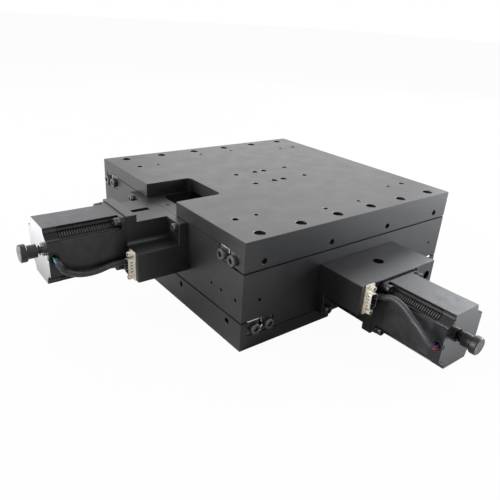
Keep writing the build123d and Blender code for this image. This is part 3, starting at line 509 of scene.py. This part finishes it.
def cap_bolt(made, place, shank, head, height, socket, grip):
    """A socket head cap bolt with a knurled head: head up along Z, seat at the origin."""
    edge = HEAD_ROUND_SHARE * head
    grip_face = knurled(head, HEAD_KNURL_SHARE * head)
    rings = [
        circle(SHANK_TIP_SHARE * shank, -grip),
        circle(shank, -grip + TIP_CHAMFER),
        circle(shank, 0.0),
        circle(head - UNDERSIDE_INSET, 0.0),
        circle(grip_face, UNDERSIDE_CHAMFER),
        circle(grip_face, height - 2.2 * edge),
        circle(head - 0.4 * edge, height - edge),
        circle(head - 1.4 * edge, height),
        circle(hexagon(socket * SOCKET_MOUTH_SHARE), height),
        circle(hexagon(socket), height - SOCKET_CHAMFER),
        circle(hexagon(socket), height * HEIGHT_WALL_END_SHARE),
        circle(SOCKET_CONE_RADIUS, height * HEIGHT_CONE_END_SHARE),
    ]
    loft(made, rings, place)


# Turns that take a bolt's head from Z to either way along X
TO_MINUS_X = Matrix.Rotation(math.radians(-90), 4, "Y")
TO_PLUS_X = Matrix.Rotation(math.radians(90), 4, "Y")


def at(x, y, z, turn=Matrix.Identity(4)):
    """A place in the upper slide, turned if need be."""
    return Matrix.Translation((x, y, z)) @ turn


def row(count, pitch):
    """Places in a row about zero."""
    return [(index - (count - 1) / 2) * pitch for index in range(count)]


# Camera, light and floor. The camera's place is in metres and its turns are in degrees.

CAMERA_PLACE = (-0.392861, -0.458266, 0.286718)
CAMERA_AZIMUTH = -38.78666
CAMERA_ELEVATION = 24.71065
CAMERA_ROLL = -3.73901
CAMERA_LENS = 36.587
CAMERA_SENSOR = 36.0


def make_camera():
    """The photograph's camera, solved from the plates' corners and the motors' size."""
    azimuth = math.radians(CAMERA_AZIMUTH)
    elevation = math.radians(CAMERA_ELEVATION)
    roll = math.radians(CAMERA_ROLL)
    back = Vector((
        math.sin(azimuth) * math.cos(elevation),
        -math.cos(azimuth) * math.cos(elevation),
        math.sin(elevation),
    ))
    level = (-back).cross(Vector((0, 0, 1))).normalized()
    sinking = (-back).cross(level)
    right = math.cos(roll) * level + math.sin(roll) * sinking
    down = math.cos(roll) * sinking - math.sin(roll) * level
    data = bpy.data.cameras.new("photo_camera")
    data.sensor_width = CAMERA_SENSOR
    data.lens = CAMERA_LENS
    data.clip_start = 0.01
    camera = bpy.data.objects.new("photo_camera", data)
    facing = Matrix((right, -down, back)).transposed().to_4x4()
    camera.matrix_world = Matrix.Translation(CAMERA_PLACE) @ facing
    bpy.context.scene.collection.objects.link(camera)
    bpy.context.scene.camera = camera


def make_lamp(name, place, target, size, power, colour):
    """A square area lamp aimed at a point."""
    data = bpy.data.lights.new(name, "AREA")
    data.shape = "SQUARE"
    data.size = size
    data.energy = power
    data.color = colour
    lamp = bpy.data.objects.new(name, data)
    lamp.location = place
    lamp.rotation_euler = (Vector(target) - Vector(place)).to_track_quat("-Z", "Y").to_euler()
    bpy.context.scene.collection.objects.link(lamp)


def seen_rays(tree):
    """1 for the rays that see the background: from the camera, off metal and through glass."""
    path = tree.nodes.new("ShaderNodeLightPath")
    total = path.outputs["Is Camera Ray"]
    for name in ("Is Glossy Ray", "Is Transmission Ray"):
        either = tree.nodes.new("ShaderNodeMath")
        either.operation = "MAXIMUM"
        tree.links.new(total, either.inputs[0])
        tree.links.new(path.outputs[name], either.inputs[1])
        total = either.outputs[0]
    return total


WORLD_LIGHT = 0.25


def make_world():
    """A white surround, dimmer where it lights the object."""
    world = bpy.data.worlds.new("studio")
    bpy.context.scene.world = world
    world.use_nodes = True
    tree = world.node_tree
    background = tree.nodes["Background"]
    background.inputs["Color"].default_value = (1, 1, 1, 1)
    strength = tree.nodes.new("ShaderNodeMapRange")
    strength.inputs["To Min"].default_value = WORLD_LIGHT
    strength.inputs["To Max"].default_value = 1.0
    tree.links.new(seen_rays(tree), strength.inputs["Value"])
    tree.links.new(strength.outputs["Result"], background.inputs["Strength"])


# Side of the floor in metres, its grey, and the share of plain white in what the camera sees of it
FLOOR_SIDE = 30.0
FLOOR_GREY = 0.82
FLOOR_GLOW = 0.96


def make_floor():
    """A white floor. The camera sees it lifted to white, with the object's shadow left in."""
    mesh = bpy.data.meshes.new("floor")
    reach = FLOOR_SIDE / 2
    corners = [(-reach, -reach, 0), (reach, -reach, 0), (reach, reach, 0), (-reach, reach, 0)]
    mesh.from_pydata(corners, [], [(0, 1, 2, 3)])
    floor = bpy.data.objects.new("floor", mesh)
    bpy.context.scene.collection.objects.link(floor)
    material = bpy.data.materials.new("floor_white")
    material.use_nodes = True
    tree = material.node_tree
    bsdf = tree.nodes["Principled BSDF"]
    bsdf.inputs["Base Color"].default_value = (FLOOR_GREY, FLOOR_GREY, FLOOR_GREY, 1)
    bsdf.inputs["Roughness"].default_value = 0.8
    bsdf.inputs["Specular IOR Level"].default_value = 0.1
    glow = tree.nodes.new("ShaderNodeEmission")
    glow.inputs["Strength"].default_value = 1.0
    mix = tree.nodes.new("ShaderNodeMixShader")
    share = tree.nodes.new("ShaderNodeMath")
    share.operation = "MULTIPLY"
    share.inputs[1].default_value = FLOOR_GLOW
    path = tree.nodes.new("ShaderNodeLightPath")
    tree.links.new(path.outputs["Is Camera Ray"], share.inputs[0])
    tree.links.new(share.outputs[0], mix.inputs[0])
    tree.links.new(bsdf.outputs[0], mix.inputs[1])
    tree.links.new(glow.outputs[0], mix.inputs[2])
    tree.links.new(mix.outputs[0], tree.nodes["Material Output"].inputs["Surface"])
    mesh.materials.append(material)


WHITE = (1.0, 1.0, 1.0)
COOL = (0.93, 0.95, 1.0)

# Where the lamps aim, in metres
LAMP_TARGET = (0, 0, 0.05)

# Place in metres, side of the square in metres, power in watts, and colour
LAMPS = {
    "back_lamp": ((1.1, 1.3, 0.75), 1.2, 2.6, WHITE),
    "high_back_lamp": ((0.9, 1.1, 1.5), 1.4, 5.5, WHITE),
    "back_left_lamp": ((0.1, 1.5, 0.62), 0.5, 0.8, COOL),
    "right_lamp": ((1.8, 0.1, 1.0), 1.4, 23.0, COOL),
    "low_right_lamp": ((0.95, -0.64, 0.2), 0.5, 12.0, COOL),
    "left_lamp": ((-1.5, 0.76, 0.6), 1.1, 41.0, WHITE),
}


def make_studio():
    """The camera, the white surround, the floor and the lamps."""
    make_camera()
    make_world()
    make_floor()
    for name, (place, size, power, colour) in LAMPS.items():
        make_lamp(name, place, LAMP_TARGET, size, power, colour)
    bpy.context.scene.view_settings.view_transform = "Standard"


# CAD nodes that keep their shape

# Heights of the faces in the joints, and where the plate's own edge and its notch are
SHOULDER_HEIGHTS = (81.0, 31.0)
BASE_RIM_Z = 30.0
SADDLE_TOP = 96.5
PLATE_FACE = 97.0
PLATE_EDGE = 5.0
NOTCH_FROM = 90.0
NOTCH_BESIDE = 40.0
# How far a normal lies along an axis on a flat face and on a chamfer, and how near a face has to be
FLAT = 0.99
SLOPING = (0.3, 0.95)
FACE_REACH = 0.1
CHAMFER_REACH = 0.5
RAIL_CHAMFER_REACH = 0.6


def refinish(node, material, chosen):
    """Gives another material to the faces that are chosen on a CAD node."""
    mesh = nodes[node].data
    if material.name not in mesh.materials:
        mesh.materials.append(material)
    index = mesh.materials.find(material.name)
    for polygon in mesh.polygons:
        if chosen(polygon):
            polygon.material_index = index


def face_at(axis, place):
    """Chooses the flat faces across an axis at this place in metres."""

    def chosen(polygon):
        return abs(polygon.normal[axis]) > FLAT and abs(polygon.center[axis] - place) < FACE_REACH * MM

    return chosen


def chamfers_at(axis, place, reach):
    """Chooses the chamfers beside a face across an axis at this place in metres."""

    def chosen(polygon):
        sloping = SLOPING[0] < abs(polygon.normal[axis]) < SLOPING[1]
        return sloping and abs(polygon.center[axis] - place) < reach * MM

    return chosen


def hole_edges():
    """Chooses the chamfers of the holes in the top, away from the plate's edges and its notch."""
    low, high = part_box("top_plate")
    level = chamfers_at(2, TABLE_HEIGHT * MM, CHAMFER_REACH)

    def chosen(polygon):
        x, y = polygon.center[:2]
        inside = min(x - low[0], high[0] - x, y - low[1], high[1] - y) >= PLATE_EDGE * MM
        by_notch = x < -NOTCH_FROM * MM and abs(y) < NOTCH_BESIDE * MM
        return level(polygon) and inside and not by_notch

    return chosen


def finish_joints():
    """Paints shade on what is seen in the narrow joints between the plates and the saddle."""
    for height in SHOULDER_HEIGHTS:
        refinish("saddle", JOINT_SHADE, face_at(2, height * MM))
    refinish("base_plate", JOINT_SHADE, face_at(2, BASE_RIM_Z * MM))
    edges = [("saddle", height) for height in (*SHOULDER_HEIGHTS, SADDLE_TOP)]
    edges += [("base_plate", BASE_RIM_Z), ("top_plate", PLATE_FACE)]
    for node, height in edges:
        refinish(node, JOINT_SHADE, chamfers_at(2, height * MM, CHAMFER_REACH))


def is_rail(name, which):
    """Whether a node is one of the rails of this slide."""
    return name.startswith((which + "_outer_rail_", which + "_inner_rail_")) and not name.endswith("_bolts")


def finish_nodes():
    """Gives each CAD node the material of its slot in the record, and some faces another one."""
    for part in frame["record"]["subparts"]:
        node, slot = part["node"], part["material_slot"]
        if slot in MATERIALS:
            finish_node(node, MATERIALS[slot])
        smooth(nodes[node], CAD_CREASE)
    finish_node("motor_washers", DARK_STEEL)
    finish_joints()
    # Painted highlight on the chamfers of the holes in the top
    refinish("top_plate", HOLE_EDGE_HIGHLIGHTS, hole_edges())
    for which, axis in MOTOR_AXES.items():
        finish_node(which + "_motor_rotor", DARK_STEEL)
        finish_node(which + "_ball_screw", BALL_SCREWS[which])
        rear_cap, knob = which + "_motor_rear_cap", which + "_knob"
        refinish(rear_cap, REAR_FACES[which], face_at(axis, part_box(rear_cap)[0][axis]))
        refinish(knob, KNOB_ENDS, face_at(axis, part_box(knob)[0][axis]))
        for rail in [name for name in nodes if is_rail(name, which)]:
            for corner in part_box(rail):
                refinish(rail, RAIL_ENDS, face_at(axis, corner[axis]))
                refinish(rail, RAIL_EDGE_HIGHLIGHTS, chamfers_at(axis, corner[axis], RAIL_CHAMFER_REACH))


# Bolts and screws

# Shank radius, head radius, head height and socket width
M5_BOLT = (2.5, 4.25, 5.0, 4.0)
M6_BOLT = (3.0, 5.0, 6.0, 5.0)
STOP_SCREW = (3.0, 5.5, 5.5, 5.0)
# Where they are: out from the table's side, across and up, and how deep they reach
BRACKET_BOLT_OUT = 9.0
BRACKET_BOLT_GRIP = 21.0
BRACKET_BOLT_PLACES = ((-48, 92), (48, 92), (-43, 59), (48, 59))
MOTOR_BOLT_OUT = 58.7
MOTOR_BOLT_GRIP = 16.7
MOTOR_BOLT_REACH = 23.57
RAIL_END = 149.0
RAIL_AXIS_Z = 89.5
OUTER_RAIL_Y = 134.75
INNER_RAIL_Y = 118.25
STOP_SCREW_GRIP = 9.0
RAIL_BOLT_Y = 137.5
RAIL_BOLT_SEAT_Z = 103.2
RAIL_BOLT_GRIP = 15.2
RAIL_BOLT_COUNT = 6
RAIL_BOLT_PITCH = 50.0


def bolts(node, size, grip, places, body, whiches, material):
    """One piece of many bolts, for one slide or both, in place of a CAD node."""

    def build(made):
        shank, head, height, socket = size
        for which in whiches:
            for place in places:
                cap_bolt(made, SLIDES[which] @ place, shank, head, height, socket, grip)

    piece(node + "_dressed", UPPER, build, body, material, [node])


def stop_places(rail_y):
    """The places of the four stop screws in the ends of one pair of rails."""
    ends = ((-RAIL_END, TO_MINUS_X), (RAIL_END, TO_PLUS_X))
    return [at(x, side * rail_y, RAIL_AXIS_Z, turn) for side in SIDES for x, turn in ends]


def make_bolts():
    """The bolts and stop screws that are seen, with knurled heads."""
    both = list(PLACES)
    bracket = [at(-HALF - BRACKET_BOLT_OUT, y, z, TO_MINUS_X) for y, z in BRACKET_BOLT_PLACES]
    bolts("bracket_bolts", M5_BOLT, BRACKET_BOLT_GRIP, bracket, "saddle", both, SCREWS_PAINTED_LIGHT)
    corners = [(sy * MOTOR_BOLT_REACH, AXIS_Z + sz * MOTOR_BOLT_REACH) for sy in SIDES for sz in SIDES]
    motor = [at(-HALF - MOTOR_BOLT_OUT, y, z, TO_MINUS_X) for y, z in corners]
    bolts("motor_bolts", M5_BOLT, MOTOR_BOLT_GRIP, motor, "saddle", both, MATERIALS["blackened_screws"])
    inner, outer = stop_places(INNER_RAIL_Y), stop_places(OUTER_RAIL_Y)
    bolts("inner_stop_screws", STOP_SCREW, STOP_SCREW_GRIP, inner, "saddle", both, SCREWS_PAINTED_LIGHT)
    along = row(RAIL_BOLT_COUNT, RAIL_BOLT_PITCH)
    rail = [at(x, side * RAIL_BOLT_Y, RAIL_BOLT_SEAT_Z) for side in SIDES for x in along]
    for which, body in (("upper", "top"), ("lower", "base")):
        stops, holding = which + "_outer_stop_screws", which + "_outer_rail_bolts"
        bolts(stops, STOP_SCREW, STOP_SCREW_GRIP, outer, body, [which], SCREWS_PAINTED_LIGHT)
        bolts(holding, M6_BOLT, RAIL_BOLT_GRIP, rail, body, [which], SCREWS_PAINTED_LIGHT)


# Connectors

CONNECTOR_Y = -43.0
CONNECTOR_Z = 59.25
COLLAR_HALF_WIDTH = 4.2
COLLAR_FROM = 54.9
COLLAR_REACH = 9.0
FACING_IN = 0.5
JACKSCREW_REACH = 12.5
JACKSCREW_BORE = 1.6
DIMPLE_OUT = 57.6
DIMPLE_PITCH = 3.3
DIMPLE_COUNT = 4
DIMPLE_POINTS = 20
# Half length, half width and height of a dimple's rings
DIMPLE_RINGS = ((1.3, 0.62, -0.1), (1.3, 0.62, 0.04), (0.9, 0.36, 0.07))


def darken_inside(node, heights, reach):
    """Gives the walls inside a connector's collar or screw the dark finish they have out of the light."""
    backs = [place.inverted() for place in PLACES.values()]

    def chosen(polygon):
        for back in backs:
            centre = back @ polygon.center
            normal = back.to_3x3().normalized() @ polygon.normal
            for height in heights:
                away = Vector((0, centre.y - CONNECTOR_Y, centre.z - CONNECTOR_Z - height))
                facing_in = -normal.dot(away.normalized()) > FACING_IN
                if centre.x < -HALF - COLLAR_FROM and away.length < reach and facing_in:
                    return True
        return False

    refinish(node, INSIDES, chosen)


def make_dimples():
    """The small pressed dimples along both sides of the connectors' collars."""

    def build(made):
        for slide in SLIDES.values():
            for side in SIDES:
                turn = Matrix.Rotation(math.radians(-90 * side), 4, "X")
                y = CONNECTOR_Y + side * COLLAR_HALF_WIDTH
                for along in row(DIMPLE_COUNT, DIMPLE_PITCH):
                    centre = (-HALF - DIMPLE_OUT, y, CONNECTOR_Z + along)
                    rings = [
                        [(long * a, wide * b, up) for a, b, up in circle(1.0, height, DIMPLE_POINTS)]
                        for long, wide, height in DIMPLE_RINGS
                    ]
                    loft(made, rings, slide @ at(*centre, turn))

    piece("connector_dimples", UPPER, build, "saddle", DIMPLES)


def finish_connectors():
    """Dimples on the connectors' collars, and dark insides."""
    make_dimples()
    darken_inside("connector_shells", [0.0], COLLAR_REACH)
    darken_inside("connector_jackscrews", [-JACKSCREW_REACH, JACKSCREW_REACH], JACKSCREW_BORE)


# Motors

MOTOR_HALF = 28.2
STATOR_FRONT = 64.5
STATOR_REAR = 116.0
SHEET_COUNT = 44
TOOTH_DEPTH = 0.8
# The sheets are drawn smaller by this much, and by up to as much again in steps that go round
SHEET_SHRINK = 0.02
SHRINK_STEPS = 13
# Finish of the sheets' edges from the top or bottom over a cut corner to the side: P is plain, D painted
# shade, L a painted highlight, T painted light and painted shade on sheets by turns, and F plain and
# painted shade on sheets by turns
CORNER_FINISH = "LDLFDDTDDPLDL"
FINISHES = {"P": (0, 0), "D": (1, 1), "L": (3, 3), "T": (2, 1), "F": (0, 1)}


def motor_outline(tooth, shrink):
    """The motor's section as (y, z) about its axis, drawn smaller by shrink, its cut corners by tooth.

    Each cut corner has a ridge by either edge and the teeth between the ridges."""
    edge = MOTOR_HALF - shrink
    half = [(17.0, edge), (17.4, edge - 0.45), (16.6, 26.2), (18.2, 25.9), (18.6, 23.9)]
    half += [(17.9 - tooth, 22.9 - tooth), (19.1 - tooth, 21.7 - tooth)]
    quarter = half + [(z, y) for y, z in reversed(half)]
    points = list(quarter)
    points += [(y, -z) for y, z in reversed(quarter)]
    points += [(-y, -z) for y, z in quarter]
    points += [(-y, z) for y, z in reversed(quarter)]
    return points


def build_stator(made):
    """A stack of sheets: every other one is cut deeper at the corners, and their widths differ a little."""
    step = (STATOR_REAR - STATOR_FRONT) / SHEET_COUNT
    rings = []
    for index in range(SHEET_COUNT):
        tooth = TOOTH_DEPTH if index % 2 else 0.0
        shrink = SHEET_SHRINK * (1 + 2 * index % SHRINK_STEPS / SHRINK_STEPS)
        outline = motor_outline(tooth, shrink)
        for out in (STATOR_FRONT + index * step, STATOR_FRONT + (index + 1) * step):
            rings.append([(-HALF - out, y, AXIS_Z + z) for y, z in outline])
    loft(made, rings)


def sheet_finish(number):
    """Which of the stator's materials a face of its skin has."""
    side_points = len(CORNER_FINISH) + 1
    ring, along = divmod(number, 4 * side_points)
    quarter, segment = divmod(along, side_points)
    if quarter % 2:
        segment = len(CORNER_FINISH) - 1 - segment
    if segment < 0 or segment == len(CORNER_FINISH):
        return 0
    return FINISHES[CORNER_FINISH[segment]][0 if ring % 4 == 0 else 1]


# How far the two caps reach out from the table's side, and a ridge's section about the motor's axis
CAP_SPANS = ((59.2, 64.4), (116.1, 128.3))
RIDGE = ((17.1, 26.2), (18.2, 25.9), (18.6, 23.9), (17.9, 22.7), (17.0, 23.0))


def build_ridges(made):
    """The stator's ridges carried on over the motor's caps, two at each cut corner."""
    sections = (RIDGE, [(z, y) for y, z in RIDGE])
    for span in CAP_SPANS:
        for sy in SIDES:
            for sz in SIDES:
                for section in sections:
                    rings = [[(-HALF - out, sy * y, AXIS_Z + sz * z) for y, z in section] for out in span]
                    loft(made, rings)


# How far the normal of a face at a cut corner lies along each of the two axes across the motor
SLANTING = (0.6, 0.8)


def darken_cut_corners(cap, axis):
    """Gives the slanting faces at a motor cap's corners the darkest sheet-edge finish, as painted shade in
    the cut corners.
    """
    across = [other for other in range(3) if other != axis]

    def chosen(polygon):
        return all(SLANTING[0] < abs(polygon.normal[other]) < SLANTING[1] for other in across)

    refinish(cap, SHEET_EDGES[0], chosen)


def make_stators():
    """The stators' stacks of sheets and the ridges of the motors' caps."""
    for which, place in PLACES.items():
        node, slot = which + "_motor_stator", "motor_laminations"
        finishes = [LAMINATIONS[which]] + SHEET_EDGES
        sheets = piece(node + "_sheets", place, build_stator, "saddle", finishes, [node])
        # The last two faces are the stack's ends
        for number, polygon in enumerate(sheets.data.polygons[:-2]):
            polygon.material_index = sheet_finish(number)
        # The caps' ridges take the painted highlight of the sheets' ridges
        piece(which + "_motor_cap_ridges", place, build_ridges, "saddle", SHEET_EDGES[2])
        for cap in ("_motor_front_cap", "_motor_rear_cap"):
            darken_cut_corners(which + cap, MOTOR_AXES[which])


# Motor leads. A route's points are the distance out from the table's side, the distance beside the
# motor's side and the height over its axis

ROUTES = {
    "upper": (
        (123.4, -3.2, 1.8),
        (123.4, 4.8, 1.8),
        (121.7, 8.9, -2.5),
        (118.0, 8.0, -10.0),
        (104.0, 6.2, -17.4),
        (87.0, 5.1, -18.8),
        (71.0, 4.5, -15.3),
        (57.5, 4.3, -15.75),
        (44.0, 4.3, -15.75),
    ),
    "lower": (
        (123.4, -3.2, 1.8),
        (123.4, 4.8, 1.8),
        (120.4, 8.8, -2.0),
        (113.0, 8.0, -7.4),
        (99.5, 6.2, -13.4),
        (87.0, 5.2, -20.6),
        (73.0, 4.5, -23.2),
        (59.5, 4.3, -15.75),
        (44.0, 4.3, -15.75),
    ),
}
LEAD_RADIUS = 3.0
WIRE_RADIUS = 0.85
# Where a wire leaves the motor, and how much of its offset is left inside the sleeve
WIRE_BESIDE = 1.3
GATHERED = 0.7
# Offsets of the wires from the route, outwards and upwards
WIRE_OFFSETS = {
    "upper": {
        "green": (-1.0, 1.2),
        "black": (1.1, 1.0),
        "blue": (-1.0, -1.1),
        "red": (1.2, -0.9),
        "white": (0.1, 0.0),
    },
    "lower": {
        "blue": (-0.9, -1.3),
        "red": (-0.9, 1.2),
        "black": (1.2, -1.0),
        "green": (1.2, 1.0),
        "white": (0.5, 0.0),
    },
}


def route_point(point, offset=(0.0, 0.0)):
    """A point of a route in the upper slide's place, moved by a wire's offset."""
    out, beside, above = point
    return (-HALF - out + offset[0], -MOTOR_HALF - beside, AXIS_Z + above + offset[1])


def spline(name, points, radius, place, body, material, replaces=()):
    """A round tube along a smooth curve with these control points."""
    curve = bpy.data.curves.new(name, "CURVE")
    curve.dimensions = "3D"
    made = curve.splines.new("NURBS")
    made.points.add(len(points) - 1)
    for control, point in zip(made.points, points):
        control.co = (*(place @ Vector(point)), 1.0)
    made.order_u = 3
    made.use_endpoint_u = True
    made.resolution_u = 10
    curve.bevel_depth = radius * MM
    curve.bevel_resolution = 6
    curve.use_fill_caps = True
    obj = bpy.data.objects.new(name, curve)
    bpy.context.scene.collection.objects.link(obj)
    curve.materials.append(material)
    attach(obj, body)
    if replaces:
        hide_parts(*replaces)


def make_leads():
    """The leads' woven sleeves, and the coloured wires that are seen between motor and sleeve."""
    weave = MATERIALS["lead_sleeve"]
    for which, place in PLACES.items():
        route = ROUTES[which]
        inside, bend, turned, sleeved = route[:4]
        start = tuple((a + b) / 2 for a, b in zip(bend, turned))
        line = [route_point(point) for point in (start,) + route[2:]]
        node = which + "_motor_lead"
        spline(node + "_sleeve", line, LEAD_RADIUS, place, "saddle", weave, [node])
        leaving = (bend[0], WIRE_BESIDE, bend[2])
        for colour, offset in WIRE_OFFSETS[which].items():
            gathered = tuple(GATHERED * value for value in offset)
            line = [route_point(point, offset) for point in (inside, leaving, bend)]
            line += [route_point(point, gathered) for point in (turned, sleeved)]
            name = "%s_wire_%s" % (which, colour)
            spline(name, line, WIRE_RADIUS, place, "saddle", WIRES[colour])


make_studio()
finish_nodes()
make_bolts()
finish_connectors()
make_stators()
make_leads()
